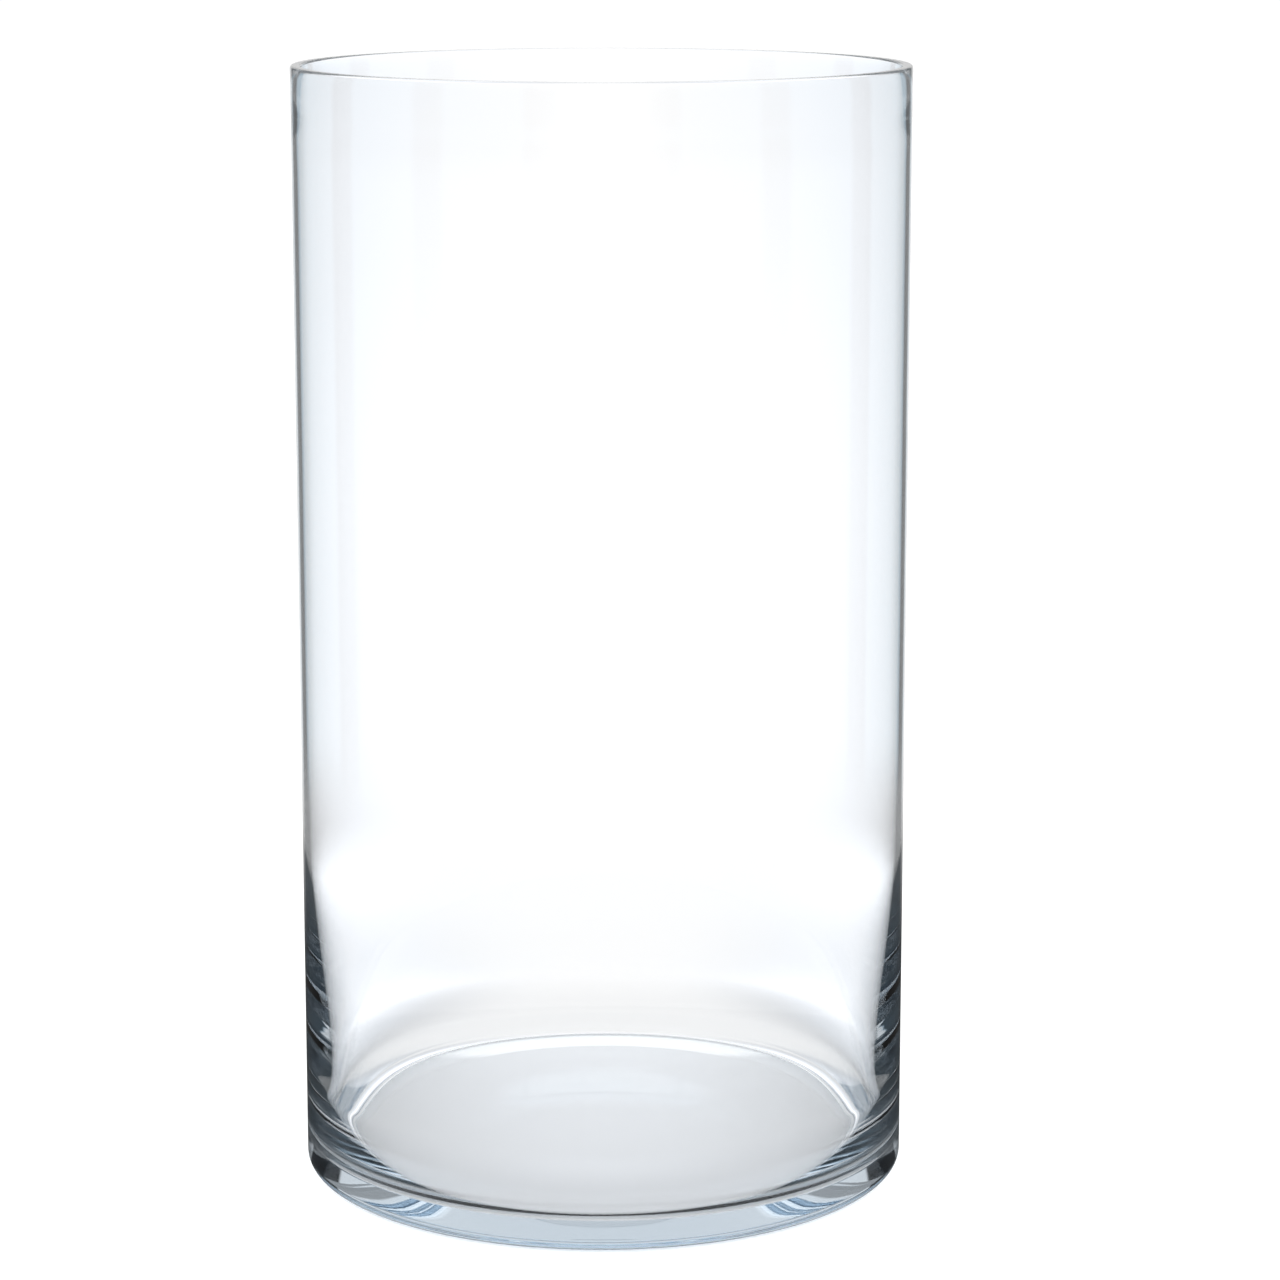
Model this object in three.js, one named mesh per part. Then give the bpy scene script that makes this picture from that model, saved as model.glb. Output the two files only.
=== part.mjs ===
// A clear glass cylinder vase: one piece of glass with a thin straight wall, a heavy foot and a thicker rim.
// Millimetres, +Z up. The origin is the centre of the ring that the vase stands on.
import * as THREE from "three";

// Driving dimensions
const HEIGHT = 350;
const OUTER_RADIUS = 95.5;
const WALL_THICKNESS = 2.2; // between the rim and FOOT_TOP
const RIM_THICKNESS = 3.3;
const RIM_DEPTH = 30; // the rim has thinned to the wall this far down
const RIM_ARRIS = 0.8; // rounding of the two edges of the rim
const FOOT_THICKNESS = 6; // wall thickness where the floor fillet starts
const FOOT_TOP = 106; // the wall starts to thicken here
const FOOT_TOP_REACH = 34; // how far the thickening curve follows the wall before it turns
const FOOT_BOTTOM_REACH = 15.4; // and how far it follows the foot
const FLOOR_HEIGHT = 7.6; // top of the glass floor, over the standing ring
const FILLET_WIDTH = 7; // between the inner wall and the floor
const FILLET_HEIGHT = 23;
const FILLET_FULLNESS = 0.44; // 0 is a straight chamfer, 0.55 is a quarter ellipse
const HEEL_RADIUS = 4.5; // between the outer wall and the underside
const STANDING_RING_INNER_RADIUS = 72;
const PUSH_UP = 1.6; // how far the middle of the underside is raised

// Smoothness of the faceted solid
const SEGMENTS_AROUND = 96;
const ARC_DIVISIONS = 4; // per quarter turn
const CURVE_DIVISIONS = 6;

const GLASS = { color: 0xe9f1f3, roughness: 0.02, metalness: 0, transparent: true, opacity: 0.35 };

// Half of the vase's upright section, as one line from the axis at the underside, up the outside,
// over the rim and down the inside to the axis at the floor. x is the radius and y the height.
function sectionOutline() {
  const wallRadius = OUTER_RADIUS - WALL_THICKNESS;
  const rimRadius = OUTER_RADIUS - RIM_THICKNESS;
  const footRadius = OUTER_RADIUS - FOOT_THICKNESS;
  const floorRadius = footRadius - FILLET_WIDTH;
  const filletTop = FLOOR_HEIGHT + FILLET_HEIGHT;
  const rimMiddle = HEIGHT - (RIM_ARRIS + RIM_DEPTH) / 2;
  const line = new THREE.Path();

  // Underside: a shallow push-up that runs out into the flat standing ring
  line.moveTo(0, PUSH_UP);
  line.bezierCurveTo(
    STANDING_RING_INNER_RADIUS / 2,
    PUSH_UP,
    STANDING_RING_INNER_RADIUS / 2,
    0,
    STANDING_RING_INNER_RADIUS,
    0,
  );
  line.lineTo(OUTER_RADIUS - HEEL_RADIUS, 0);

  // Outside: heel, straight wall and outer edge of the rim
  line.absarc(OUTER_RADIUS - HEEL_RADIUS, HEEL_RADIUS, HEEL_RADIUS, -Math.PI / 2, 0, false);
  line.lineTo(OUTER_RADIUS, HEIGHT - RIM_ARRIS);
  line.absarc(OUTER_RADIUS - RIM_ARRIS, HEIGHT - RIM_ARRIS, RIM_ARRIS, 0, Math.PI / 2, false);

  // Inside: inner edge of the rim, thinning to the wall, straight wall, thickening foot, fillet and floor
  line.lineTo(rimRadius + RIM_ARRIS, HEIGHT);
  line.absarc(rimRadius + RIM_ARRIS, HEIGHT - RIM_ARRIS, RIM_ARRIS, Math.PI / 2, Math.PI, false);
  line.bezierCurveTo(rimRadius, rimMiddle, wallRadius, rimMiddle, wallRadius, HEIGHT - RIM_DEPTH);
  line.lineTo(wallRadius, FOOT_TOP);
  line.bezierCurveTo(
    wallRadius,
    FOOT_TOP - FOOT_TOP_REACH,
    footRadius,
    filletTop + FOOT_BOTTOM_REACH,
    footRadius,
    filletTop,
  );
  line.bezierCurveTo(
    footRadius,
    filletTop - FILLET_FULLNESS * FILLET_HEIGHT,
    floorRadius + FILLET_FULLNESS * FILLET_WIDTH,
    FLOOR_HEIGHT,
    floorRadius,
    FLOOR_HEIGHT,
  );
  line.lineTo(0, FLOOR_HEIGHT);
  return line;
}

// Points of the outline, with each arc and curve divided evenly and repeated points left out
function outlinePoints(outline) {
  const points = [];
  for (const curve of outline.curves) {
    const divisions = curve.isLineCurve ? 1 : curve.isEllipseCurve ? ARC_DIVISIONS : CURVE_DIVISIONS;
    for (const point of curve.getPoints(divisions)) {
      const last = points[points.length - 1];
      if (!last || last.distanceTo(point) > 1e-6) points.push(point);
    }
  }
  return points;
}

function glassVase() {
  const geometry = new THREE.LatheGeometry(outlinePoints(sectionOutline()), SEGMENTS_AROUND);
  geometry.rotateX(Math.PI / 2);
  const vase = new THREE.Mesh(geometry, new THREE.MeshStandardMaterial(GLASS));
  vase.name = "glass_vase";
  return vase;
}

const cylinderVase = new THREE.Group();
cylinderVase.add(glassVase());

export default cylinderVase;
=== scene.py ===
"""Looks of a clear glass cylinder vase: a smooth glass mesh, a pale table and bright-field studio light."""
import math

import bmesh
import bpy
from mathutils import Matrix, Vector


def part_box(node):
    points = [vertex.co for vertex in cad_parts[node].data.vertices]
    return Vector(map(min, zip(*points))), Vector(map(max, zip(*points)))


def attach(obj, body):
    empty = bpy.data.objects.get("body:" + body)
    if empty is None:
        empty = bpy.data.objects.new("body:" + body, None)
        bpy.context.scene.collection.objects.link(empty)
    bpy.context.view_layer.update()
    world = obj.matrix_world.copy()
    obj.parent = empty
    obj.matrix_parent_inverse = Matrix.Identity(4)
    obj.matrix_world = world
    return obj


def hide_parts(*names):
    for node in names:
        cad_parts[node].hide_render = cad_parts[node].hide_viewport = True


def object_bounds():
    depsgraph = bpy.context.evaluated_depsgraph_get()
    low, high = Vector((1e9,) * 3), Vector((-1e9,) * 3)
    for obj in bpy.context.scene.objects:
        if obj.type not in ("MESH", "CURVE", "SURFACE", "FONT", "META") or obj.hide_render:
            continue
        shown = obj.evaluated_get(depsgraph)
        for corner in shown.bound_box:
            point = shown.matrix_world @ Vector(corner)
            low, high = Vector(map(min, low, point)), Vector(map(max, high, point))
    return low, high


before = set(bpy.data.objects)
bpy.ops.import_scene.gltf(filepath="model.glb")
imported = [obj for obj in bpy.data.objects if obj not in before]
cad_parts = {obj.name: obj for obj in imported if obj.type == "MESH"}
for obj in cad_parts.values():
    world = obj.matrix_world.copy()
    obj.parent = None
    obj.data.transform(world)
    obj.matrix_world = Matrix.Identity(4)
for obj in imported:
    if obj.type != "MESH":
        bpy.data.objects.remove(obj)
cad_low, cad_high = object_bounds()

# The vase, in metres. The outer sizes come from the CAD node, the rest are the CAD's own dimensions.
vase_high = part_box("glass_vase")[1]
OUTER_RADIUS = vase_high[0]
HEIGHT = vase_high[2]
WALL = 0.0022
RIM_WALL = 0.0033
RIM_DEPTH = 0.030
RIM_ARRIS = 0.0008
FOOT_WALL = 0.0060
FOOT_TOP = 0.106
FOOT_TOP_REACH = 0.034
FOOT_BOTTOM_REACH = 0.0154
FLOOR_HEIGHT = 0.0076
FILLET_WIDTH = 0.0070
FILLET_HEIGHT = 0.0230
FILLET_FULLNESS = 0.44
HEEL_RADIUS = 0.0045
STANDING_RING_INNER_RADIUS = 0.072
PUSH_UP = 0.0016
SEGMENTS_AROUND = 256

# Glass. The absorption gives thick glass its faint blue-green tone.
GLASS_IOR = 1.52
GLASS_TONE = (0.35, 0.51, 0.64, 1)
GLASS_DENSITY = 4.0
RIM_ROUGHNESS = 0.1
WAVE_SCALE = 28.0
WAVE_HEIGHT = 0.00001

# Table. Radii are from the vase's axis, and y runs from the front of the vase to its back.
TABLE_RADIUS = 6.0
TABLE_SEGMENTS = 128
TABLE_GAP = 0.0002  # under the vase, so that the two faces don't coincide
TABLE_GREY = 0.82
TABLE_GLOW = 0.25
DISC_TINT = (0.99, 1.0, 1.012)
DISC_RADIUS = 0.075  # of the table that shows through the vase's floor
# The disc is painted with shade: lighter at the back, darker at the sides and the front
DISC_PAINTED_BACK_LIGHT = 0.11  # painted light: how much lighter the back of that disc is painted
DISC_SIDE_SHADE = 0.24
DISC_FRONT_SHADE = 0.12
DISC_FRONT = (-0.5, -1.1)  # in disc radii
DISC_LIMITS = (0.6, 1.1)
SPOT_RADII = (0.093, 0.096)  # seen through the glass, the table ends here
CONTACT_SHADOW_RADII = (0.087, 0.0905)  # of the painted contact shadow, a dark line under the heel
CONTACT_SHADOW_Y = (-0.02, 0.06)  # it weakens between these
CONTACT_SHADOW_STRENGTH = (0.95, 0.3)
PAINTED_HIGHLIGHT_RADII = (0.075, 0.086)  # of the painted highlight, a glowing band at the back
PAINTED_HIGHLIGHT_Y = (0.060, 0.067)  # it begins between these
PAINTED_HIGHLIGHT_GLOW = 0.3
SOFT_EDGE = 0.001

# Brightness of the studio, which has bright panels all round. CENTRE is the middle of a panel. The levels
# down to FAR_SIDE_FOOT are shares of it: at the middle or beside it, and seen through the upper wall (HIGH),
# the foot (FOOT) or the base (LOW).
PANELS = 8
CENTRE = 1.20
CENTRE_HIGH = 0.93
CENTRE_FOOT = 0.935
CENTRE_LOW = 0.92
NEAR_SIDE_HIGH = 0.94
SIDE_HIGH = 0.86
SIDE_FOOT = 1.2
SIDE_LOW = 0.86
NEAR_SIDE_LOW = 0.8
FAR_SIDE_FOOT = 1.6
SIDE_TINT = (0.965, 0.995, 1.04, 1)
ROOF = 1.3
BACKDROP = 1.05  # as the camera sees it beside the vase

# The studio as the glass mirrors it. OUTER is the outside of the wall, EDGE is one mirroring inside it,
# GUIDED two to five, TRAPPED more, and MIRRORED all other mirrorings.
MIRRORED = 0.8
OUTER_STRIP = 0.9
OUTER_LINE = 0.3
OUTER_LOW = 0.05
EDGE = 0.05
EDGE_STRIP = 0.8
EDGE_INSIDE = 0.6
EDGE_TOP = 1.0
GUIDED = 1.0
GUIDED_THIN = 0.45
FLAG = 0.005
FLAG_TURN = 66
TRAPPED = 0.085
TRAPPED_DEEP = 0.4  # share of TRAPPED
TRAPPED_HIGH = 1.5
TRAPPED_BEHIND = 0.9
DARK_TINT = (0.72, 0.97, 1.15, 1)
BOUNCES = 128

# Elevations between which those levels change, in degrees
ROOF_START = (26, 40)
HIGH_START = (-8, -2)
SIDE_HIGH_START = (-10, -5.5)
FOOT_END = (-14, -12.5)
OUTER_FOOT_END = (-16, -12.5)
CENTRE_FOOT_END = (-16.5, -13.5)
SIDE_FOOT_END = (-17, -14)
FAR_SIDE_FOOT_END = (-17.5, -14)
LOW_END = (-27, -17)
SIDE_LOW_END = (-22, -17)
NEAR_SIDE_LOW_END = (-28, -16)
EDGE_TOP_START = (6, 12)
GUIDED_THIN_END = (3, 8)
FLAG_START = (9, 11)
FLAG_END = (25, 28)
TRAPPED_DEEP_START = (8, 14)
TRAPPED_HIGH_START = (24, 45)
BEHIND_END = (-8, -5)

# Angles sideways between which they change: from the middle of a panel, or from straight behind the vase
SIDE_START = (0.5, 13)
NEAR_SIDE_START = (0, 1.8)
NEAR_SIDE_LOW_START = (1, 4)
FAR_SIDE_START = (2.5, 11)
SIDE_TINT_START = (0.4, 6)
EDGE_STRIP_END = (14, 18)
OUTER_STRIP_END = (14, 19)
OUTER_LINE_END = (24, 48)
INSIDE_START = (23, 26)
INSIDE_END = (32, 40)
FLAG_HALF_WIDTH = (12, 14)
BEHIND_HALF_WIDTH = (6, 10)

# Camera
FOCAL_PX = 4000
FRAME_PX = 1280
SENSOR_MM = 36.0
CAMERA_DISTANCE = 6.49  # in vase diameters, as is the height
CAMERA_HEIGHT = 2.192
CAMERA_PITCH = 11.37
CAMERA_YAW = 0.544


def arc(centre_r, centre_z, radius, start_deg, end_deg, steps):
    points = []
    for i in range(steps + 1):
        angle = math.radians(start_deg + (end_deg - start_deg) * i / steps)
        points.append((centre_r + radius * math.cos(angle), centre_z + radius * math.sin(angle)))
    return points


def bezier(corners, steps):
    points = []
    for i in range(steps + 1):
        t = i / steps
        s = 1 - t
        weights = (s * s * s, 3 * s * s * t, 3 * s * t * t, t * t * t)
        points.append(tuple(sum(w * corner[k] for w, corner in zip(weights, corners)) for k in (0, 1)))
    return points


def straight(start, end, steps):
    """Points between start and end, both left out."""
    points = []
    for i in range(1, steps):
        points.append(tuple(start[k] + (end[k] - start[k]) * i / steps for k in (0, 1)))
    return points


def section():
    """The (radius, height) outline from the underside, up the outside and down the inside to the floor."""
    wall_radius = OUTER_RADIUS - WALL
    rim_radius = OUTER_RADIUS - RIM_WALL
    rim_middle = HEIGHT - (RIM_ARRIS + RIM_DEPTH) / 2
    foot_radius = OUTER_RADIUS - FOOT_WALL
    floor_radius = foot_radius - FILLET_WIDTH
    fillet_top = FLOOR_HEIGHT + FILLET_HEIGHT
    ring_radius = STANDING_RING_INNER_RADIUS

    # Underside, without its middle point. Each call ends with the number of parts to divide into.
    underside = ((0, PUSH_UP), (ring_radius / 2, PUSH_UP), (ring_radius / 2, 0), (ring_radius, 0))
    points = bezier(underside, 24)[1:]

    # Heel, outside wall and rim
    points += straight(points[-1], (OUTER_RADIUS - HEEL_RADIUS, 0), 4)
    points += arc(OUTER_RADIUS - HEEL_RADIUS, HEEL_RADIUS, HEEL_RADIUS, -90, 0, 16)
    points += straight(points[-1], (OUTER_RADIUS, HEIGHT - RIM_ARRIS), 40)
    points += arc(OUTER_RADIUS - RIM_ARRIS, HEIGHT - RIM_ARRIS, RIM_ARRIS, 0, 90, 8)
    points += arc(rim_radius + RIM_ARRIS, HEIGHT - RIM_ARRIS, RIM_ARRIS, 90, 180, 8)

    # Inside: from the rim to the wall, the wall, the thickening foot, the fillet and the floor
    wall_top = (wall_radius, HEIGHT - RIM_DEPTH)
    rim_curve = (points[-1], (rim_radius, rim_middle), (wall_radius, rim_middle), wall_top)
    points += bezier(rim_curve, 16)[1:]
    points += straight(wall_top, (wall_radius, FOOT_TOP), 30)
    foot_curve = (
        (wall_radius, FOOT_TOP),
        (wall_radius, FOOT_TOP - FOOT_TOP_REACH),
        (foot_radius, fillet_top + FOOT_BOTTOM_REACH),
        (foot_radius, fillet_top),
    )
    points += bezier(foot_curve, 40)
    fillet_curve = (
        (foot_radius, fillet_top),
        (foot_radius, fillet_top - FILLET_FULLNESS * FILLET_HEIGHT),
        (floor_radius + FILLET_FULLNESS * FILLET_WIDTH, FLOOR_HEIGHT),
        (floor_radius, FLOOR_HEIGHT),
    )
    points += bezier(fillet_curve, 48)[1:]
    points += straight(points[-1], (0, FLOOR_HEIGHT), 24)
    return points


def add_object(name, shape):
    """Turn a bmesh into an object of the scene."""
    mesh = bpy.data.meshes.new(name)
    shape.to_mesh(mesh)
    shape.free()
    made = bpy.data.objects.new(name, mesh)
    bpy.context.collection.objects.link(made)
    return made


def vase_surface():
    shape = bmesh.new()
    rings = []
    for radius, height in section():
        ring = []
        for i in range(SEGMENTS_AROUND):
            angle = 2 * math.pi * i / SEGMENTS_AROUND
            ring.append(shape.verts.new((radius * math.cos(angle), radius * math.sin(angle), height)))
        rings.append(ring)
    bottom = shape.verts.new((0, 0, PUSH_UP))
    top = shape.verts.new((0, 0, FLOOR_HEIGHT))
    for i in range(SEGMENTS_AROUND):
        j = (i + 1) % SEGMENTS_AROUND
        shape.faces.new((bottom, rings[0][j], rings[0][i]))
        shape.faces.new((top, rings[-1][i], rings[-1][j]))
        for lower, upper in zip(rings, rings[1:]):
            shape.faces.new((lower[i], lower[j], upper[j], upper[i]))
    for face in shape.faces:
        face.smooth = True
    return add_object("glass_vase_surface", shape)


class Formula:
    """Short helpers that write node formulas."""

    def __init__(self, tree):
        self.nodes = tree.nodes
        self.links = tree.links

    def put(self, socket, value):
        if isinstance(value, (int, float, tuple)):
            socket.default_value = value
        else:
            self.links.new(value, socket)

    def node(self, kind, coordinates):
        """A node that reads the given coordinates."""
        made = self.nodes.new(kind)
        self.links.new(coordinates, made.inputs["Vector"])
        return made

    def math(self, operation, a, b=0.0, c=0.5):
        """One step of arithmetic. In COMPARE, c is how far apart equal values may be."""
        made = self.nodes.new("ShaderNodeMath")
        made.operation = operation
        for socket, value in zip(made.inputs, (a, b, c)):
            self.put(socket, value)
        return made.outputs[0]

    def times(self, *values):
        product = values[0]
        for value in values[1:]:
            product = self.math("MULTIPLY", product, value)
        return product

    def ramp(self, value, start, end, at_start=0.0, at_end=1.0):
        """Smooth change from at_start where value is start to at_end where it is end."""
        made = self.nodes.new("ShaderNodeMapRange")
        made.interpolation_type = "SMOOTHSTEP"
        names = ("Value", "From Min", "From Max", "To Min", "To Max")
        for name, given in zip(names, (value, start, end, at_start, at_end)):
            self.put(made.inputs[name], given)
        return made.outputs[0]

    def between(self, value, low, high, soft):
        """1 from low to high, and 0 outside, with edges as wide as soft."""
        return self.times(self.ramp(value, low, low + soft), self.ramp(value, high, high + soft, 1.0, 0.0))

    def mix(self, factor, a, b):
        made = self.nodes.new("ShaderNodeMix")
        for name, given in zip(("Factor", "A", "B"), (factor, a, b)):
            self.put(made.inputs[name], given)
        return made.outputs[0]

    def mix_colour(self, factor, a, b):
        made = self.nodes.new("ShaderNodeMix")
        made.data_type = "RGBA"
        for name, given in zip(("Factor", "A", "B"), (factor, a, b)):
            self.put(made.inputs[name], given)
        return made.outputs["Result"]


def glass_material():
    material = bpy.data.materials.new("clear_glass")
    material.use_nodes = True
    t = Formula(material.node_tree)
    shader = t.nodes["Principled BSDF"]
    shader.inputs["Base Color"].default_value = (1, 1, 1, 1)
    shader.inputs["IOR"].default_value = GLASS_IOR
    shader.inputs["Transmission Weight"].default_value = 1.0
    place = t.nodes.new("ShaderNodeTexCoord").outputs["Object"]
    height = t.node("ShaderNodeSeparateXYZ", place).outputs["Z"]

    # The ground top face of the rim scatters a little
    rim = t.ramp(height, HEIGHT - 0.4 * RIM_ARRIS, HEIGHT - 0.1 * RIM_ARRIS, 0.0, RIM_ROUGHNESS)
    t.put(shader.inputs["Roughness"], rim)

    # The thin wall is not perfectly even: broad, very shallow waves
    waves = t.node("ShaderNodeTexNoise", place)
    waves.inputs["Scale"].default_value = WAVE_SCALE
    waves.inputs["Detail"].default_value = 1.0
    bump = t.nodes.new("ShaderNodeBump")
    bump.inputs["Distance"].default_value = WAVE_HEIGHT
    above_foot = t.ramp(height, FOOT_TOP, 1.5 * FOOT_TOP)
    t.put(bump.inputs["Height"], t.times(waves.outputs["Fac"], above_foot))
    t.put(shader.inputs["Normal"], bump.outputs["Normal"])

    absorption = t.nodes.new("ShaderNodeVolumeAbsorption")
    absorption.inputs["Color"].default_value = GLASS_TONE
    absorption.inputs["Density"].default_value = GLASS_DENSITY
    t.put(t.nodes["Material Output"].inputs["Volume"], absorption.outputs[0])
    return material


def table_material():
    """A plain pale table as the camera sees it. Through the glass only a spot of it shows, with painted
    shade, a painted contact shadow and a glowing painted highlight.
    """
    material = bpy.data.materials.new("floor")
    material.use_nodes = True
    t = Formula(material.node_tree)
    shader = t.nodes["Principled BSDF"]
    shader.inputs["Roughness"].default_value = 1.0
    shader.inputs["Specular IOR Level"].default_value = 0.0
    shader.inputs["Emission Color"].default_value = (1, 1, 1, 1)
    place = t.nodes.new("ShaderNodeTexCoord").outputs["Object"]
    x, y = t.node("ShaderNodeSeparateXYZ", place).outputs[:2]
    distance = t.node("ShaderNodeVectorMath", place)
    distance.operation = "LENGTH"
    radius = distance.outputs["Value"]

    # Painted shade of the disc: lighter at the back, darker at the sides and the front
    across = t.math("DIVIDE", x, DISC_RADIUS)
    along = t.math("DIVIDE", y, DISC_RADIUS)
    shade = t.math("ADD", t.times(along, DISC_PAINTED_BACK_LIGHT), 1.0)
    shade = t.math("SUBTRACT", shade, t.times(across, across, DISC_SIDE_SHADE))
    shade = t.math("SUBTRACT", shade, t.ramp(along, *DISC_FRONT, 0.0, DISC_FRONT_SHADE))
    shade = t.math("MINIMUM", t.math("MAXIMUM", shade, DISC_LIMITS[0]), DISC_LIMITS[1])

    # A painted contact shadow, a dark line under the heel, and a painted highlight, a glowing crescent at
    # the back
    contact_shadow = t.times(t.between(radius, *CONTACT_SHADOW_RADII, SOFT_EDGE), t.ramp(y, *CONTACT_SHADOW_Y, *CONTACT_SHADOW_STRENGTH))
    shade = t.times(shade, t.math("SUBTRACT", 1.0, contact_shadow))
    painted_highlight = t.times(t.between(radius, *PAINTED_HIGHLIGHT_RADII, SOFT_EDGE), t.ramp(y, *PAINTED_HIGHLIGHT_Y), PAINTED_HIGHLIGHT_GLOW)

    painted_disc = t.nodes.new("ShaderNodeCombineColor")
    for socket, tint in zip(painted_disc.inputs, DISC_TINT):
        t.put(socket, t.times(shade, TABLE_GREY * tint))
    direct = t.nodes.new("ShaderNodeLightPath").outputs["Is Camera Ray"]
    plain = (TABLE_GREY, TABLE_GREY, TABLE_GREY, 1)
    t.put(shader.inputs["Base Color"], t.mix_colour(direct, painted_disc.outputs[0], plain))
    # The camera sees the table's even glow; through the glass only the painted highlight glows
    t.put(shader.inputs["Emission Strength"], t.mix(direct, painted_highlight, TABLE_GLOW))

    clear = t.nodes.new("ShaderNodeBsdfTransparent")
    spot = t.ramp(radius, *SPOT_RADII, 1.0, 0.0)
    mix = t.nodes.new("ShaderNodeMixShader")
    t.put(mix.inputs["Fac"], t.math("MAXIMUM", spot, direct))
    t.links.new(clear.outputs["BSDF"], mix.inputs[1])
    t.links.new(shader.outputs["BSDF"], mix.inputs[2])
    t.put(t.nodes["Material Output"].inputs["Surface"], mix.outputs["Shader"])
    return material


def add_table():
    shape = bmesh.new()
    bmesh.ops.create_circle(shape, cap_ends=True, segments=TABLE_SEGMENTS, radius=TABLE_RADIUS)
    table = add_object("floor", shape)
    table.data.materials.append(table_material())
    table.location.z = cad_low[2] - TABLE_GAP


def window_level(t, off, elevation, roof):
    """Brightness of the studio straight through the glass. All angles are in degrees."""
    side_foot = t.ramp(elevation, *SIDE_FOOT_END, SIDE_FOOT, SIDE_HIGH)
    side = t.ramp(elevation, *SIDE_LOW_END, SIDE_LOW, side_foot)
    near_side_high = t.ramp(elevation, *SIDE_HIGH_START, 1.0, NEAR_SIDE_HIGH)
    near_side_low = t.ramp(elevation, *NEAR_SIDE_LOW_END, NEAR_SIDE_LOW, 1.0)
    far_side = t.ramp(elevation, *FAR_SIDE_FOOT_END, FAR_SIDE_FOOT, 1.0)
    window = t.times(
        CENTRE,
        t.ramp(elevation, *HIGH_START, 1.0, CENTRE_HIGH),
        t.ramp(elevation, *LOW_END, CENTRE_LOW, 1.0),
        t.ramp(elevation, *CENTRE_FOOT_END, CENTRE_FOOT, 1.0),
        t.ramp(off, *SIDE_START, 1.0, side),
        t.ramp(off, *NEAR_SIDE_START, 1.0, near_side_high),
        t.ramp(off, *FAR_SIDE_START, 1.0, far_side),
        t.ramp(off, *NEAR_SIDE_LOW_START, 1.0, near_side_low),
    )
    return t.mix(roof, window, ROOF)


def outer_level(t, turn, elevation):
    """Brightness as the outside of the wall mirrors it: a bright strip, then a dark line along the edge."""
    strip = t.ramp(turn, *OUTER_STRIP_END, OUTER_STRIP, OUTER_LINE)
    line = t.ramp(turn, *OUTER_LINE_END, strip, MIRRORED)
    return t.ramp(elevation, *OUTER_FOOT_END, OUTER_LOW, line)


def edge_level(t, off, turn, elevation):
    """Brightness as the inner face of the wall mirrors it once, which is what darkens the edges."""
    inside = t.times(t.ramp(turn, *INSIDE_START), t.ramp(turn, *INSIDE_END, 1.0, 0.0))
    thin = t.mix(inside, t.ramp(off, *EDGE_STRIP_END, EDGE_STRIP, EDGE), EDGE_INSIDE)
    edge = t.ramp(elevation, *FOOT_END, EDGE, thin)
    return t.ramp(elevation, *EDGE_TOP_START, edge, EDGE_TOP)


def guided_level(t, turn, elevation, roof):
    """Brightness after two to five mirrorings inside the wall, with a black flag on each side."""
    from_flag = t.math("ABSOLUTE", t.math("SUBTRACT", turn, FLAG_TURN))
    flag = t.times(
        t.ramp(from_flag, *FLAG_HALF_WIDTH, 1.0, 0.0),
        t.ramp(elevation, *FLAG_START),
        t.ramp(elevation, *FLAG_END, 1.0, 0.0),
    )
    thin = t.ramp(elevation, *FOOT_END, GUIDED, GUIDED_THIN)
    guided = t.ramp(elevation, *GUIDED_THIN_END, thin, GUIDED)
    return t.mix(roof, t.mix(flag, guided, FLAG), ROOF)


def trapped_level(t, elevation, behind):
    """Brightness after more than five mirrorings: dark, but not from high up or from low behind the vase."""
    deep = t.times(TRAPPED, t.ramp(elevation, *TRAPPED_DEEP_START, 1.0, TRAPPED_DEEP))
    return t.mix(behind, t.ramp(elevation, *TRAPPED_HIGH_START, deep, TRAPPED_HIGH), TRAPPED_BEHIND)


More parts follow.
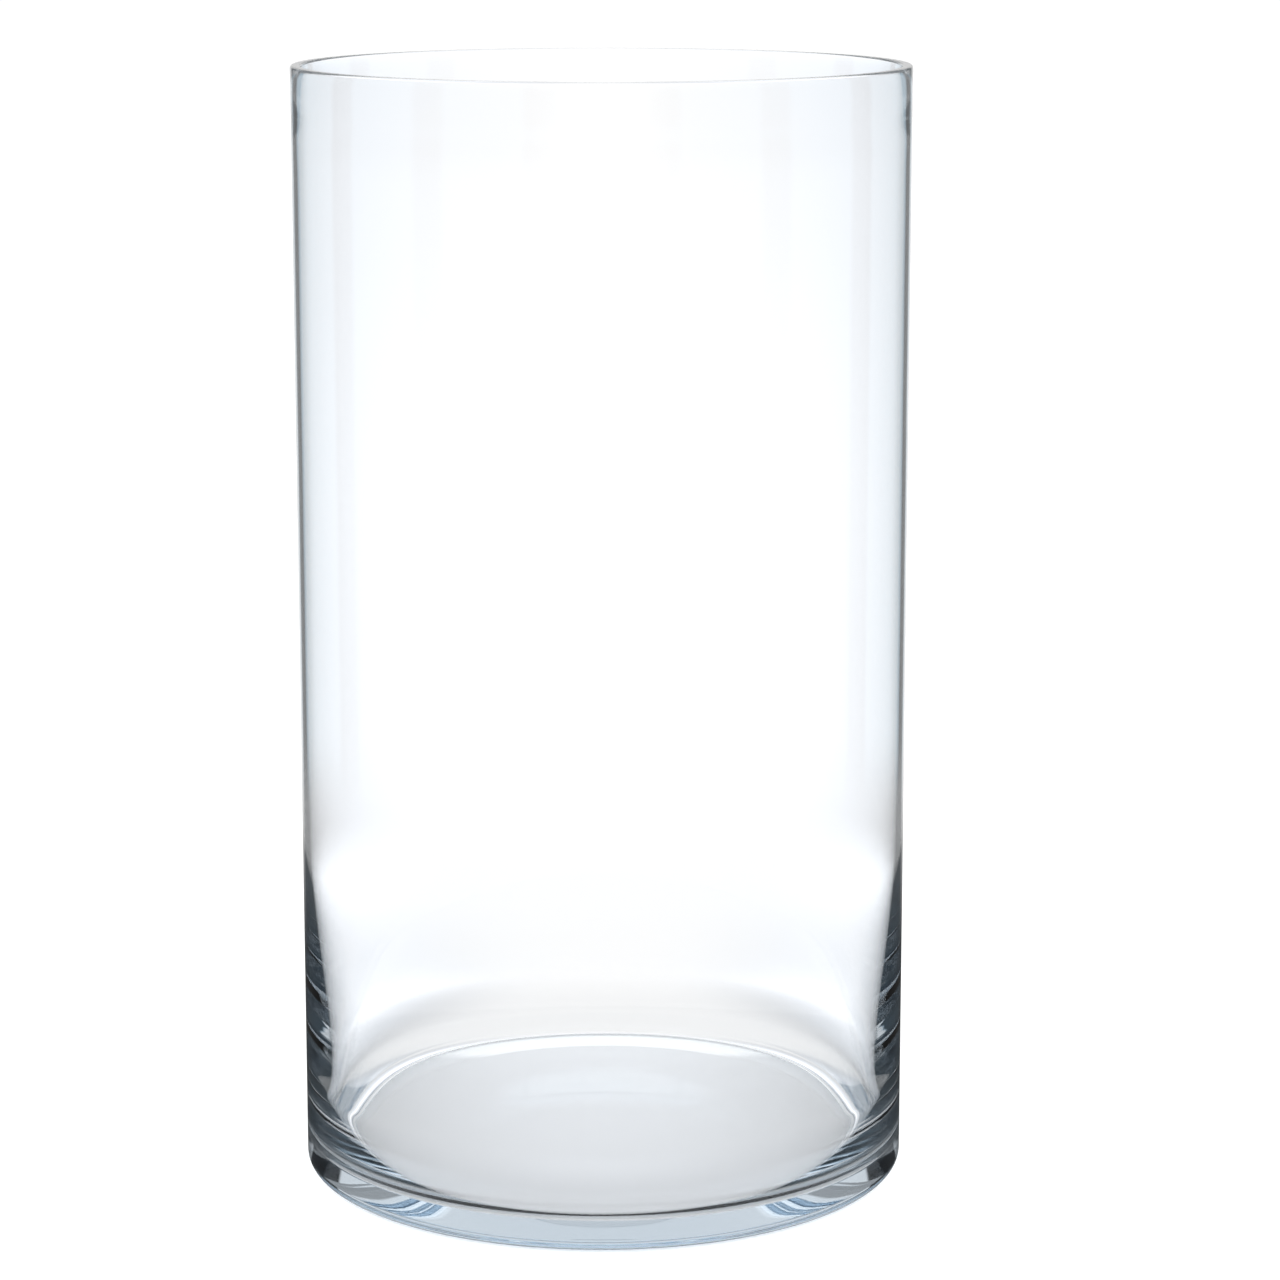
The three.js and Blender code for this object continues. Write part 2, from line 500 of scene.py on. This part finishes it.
def studio():
    """Bright-field light. What a ray finds depends on how often the glass mirrored it on its way."""
    world = bpy.data.worlds.new("studio")
    bpy.context.scene.world = world
    world.use_nodes = True
    t = Formula(world.node_tree)
    background = t.nodes["Background"]
    direction = t.nodes.new("ShaderNodeTexCoord").outputs["Generated"]
    x, y, z = t.node("ShaderNodeSeparateXYZ", direction).outputs

    # Angles in degrees: turn is from straight behind the vase, off is from the nearest panel
    azimuth = t.times(t.math("ARCTAN2", x, y), 180 / math.pi)
    turn = t.math("ABSOLUTE", azimuth)
    round_panels = t.math("COSINE", t.times(azimuth, PANELS * math.pi / 180))
    off = t.times(t.math("ARCCOSINE", round_panels), 180 / math.pi / PANELS)
    elevation = t.times(t.math("ARCSINE", z), 180 / math.pi)
    roof = t.ramp(elevation, *ROOF_START)
    behind = t.times(t.ramp(elevation, *BEHIND_END, 1.0, 0.0), t.ramp(turn, *BEHIND_HALF_WIDTH, 1.0, 0.0))

    # The way of the ray: mirrorings so far, and passes through a face of the glass
    path = t.nodes.new("ShaderNodeLightPath")
    mirrorings = path.outputs["Glossy Depth"]
    passes = path.outputs["Transmission Depth"]
    mirrored = t.math("GREATER_THAN", mirrorings, 0.5)
    once = t.math("COMPARE", mirrorings, 1.0)
    few = t.times(t.math("GREATER_THAN", mirrorings, 1.5), t.math("LESS_THAN", mirrorings, 5.5))
    many = t.math("GREATER_THAN", mirrorings, 5.5)
    outside = t.math("LESS_THAN", passes, 0.5)
    in_wall = t.math("COMPARE", passes, 2.0)

    level = t.mix(outside, t.mix(roof, MIRRORED, ROOF), outer_level(t, turn, elevation))
    level = t.mix(mirrored, window_level(t, off, elevation, roof), level)
    level = t.mix(t.times(mirrored, in_wall), level, edge_level(t, off, turn, elevation))
    level = t.mix(t.times(few, in_wall), level, guided_level(t, turn, elevation, roof))
    level = t.mix(t.times(many, in_wall), level, trapped_level(t, elevation, behind))
    level = t.mix(path.outputs["Is Camera Ray"], level, BACKDROP)
    t.put(background.inputs["Strength"], level)

    # Dark edges are slate blue, and the studio beside each panel is slightly cool
    dark = t.times(
        t.math("MAXIMUM", many, once),
        in_wall,
        t.ramp(elevation, *TRAPPED_HIGH_START, 1.0, 0.0),
        t.math("SUBTRACT", 1.0, behind),
    )
    through = t.times(
        t.math("LESS_THAN", mirrorings, 0.5),
        t.math("GREATER_THAN", passes, 0.5),
        t.ramp(off, *SIDE_TINT_START),
    )
    colour = t.mix_colour(through, (1, 1, 1, 1), SIDE_TINT)
    t.put(background.inputs["Color"], t.mix_colour(dark, colour, DARK_TINT))


def add_camera():
    diameter = 2 * OUTER_RADIUS
    data = bpy.data.cameras.new("camera")
    data.sensor_width = SENSOR_MM
    data.lens = SENSOR_MM * FOCAL_PX / FRAME_PX
    data.clip_end = 50
    camera = bpy.data.objects.new("camera", data)
    bpy.context.collection.objects.link(camera)
    camera.location = (0, -CAMERA_DISTANCE * diameter, CAMERA_HEIGHT * diameter)
    camera.rotation_euler = (math.radians(90 - CAMERA_PITCH), 0, -math.radians(CAMERA_YAW))
    bpy.context.scene.camera = camera


vase = vase_surface()
vase.data.materials.append(glass_material())
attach(vase, "root")
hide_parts("glass_vase")
add_table()
studio()
add_camera()

scene = bpy.context.scene
scene.view_settings.view_transform = "Standard"
scene.cycles.max_bounces = BOUNCES
scene.cycles.transmission_bounces = BOUNCES
scene.cycles.glossy_bounces = BOUNCES
scene.cycles.diffuse_bounces = 4
scene.cycles.caustics_reflective = True
scene.cycles.caustics_refractive = True
scene.cycles.blur_glossy = 0.0
scene.cycles.sample_clamp_indirect = 0.0
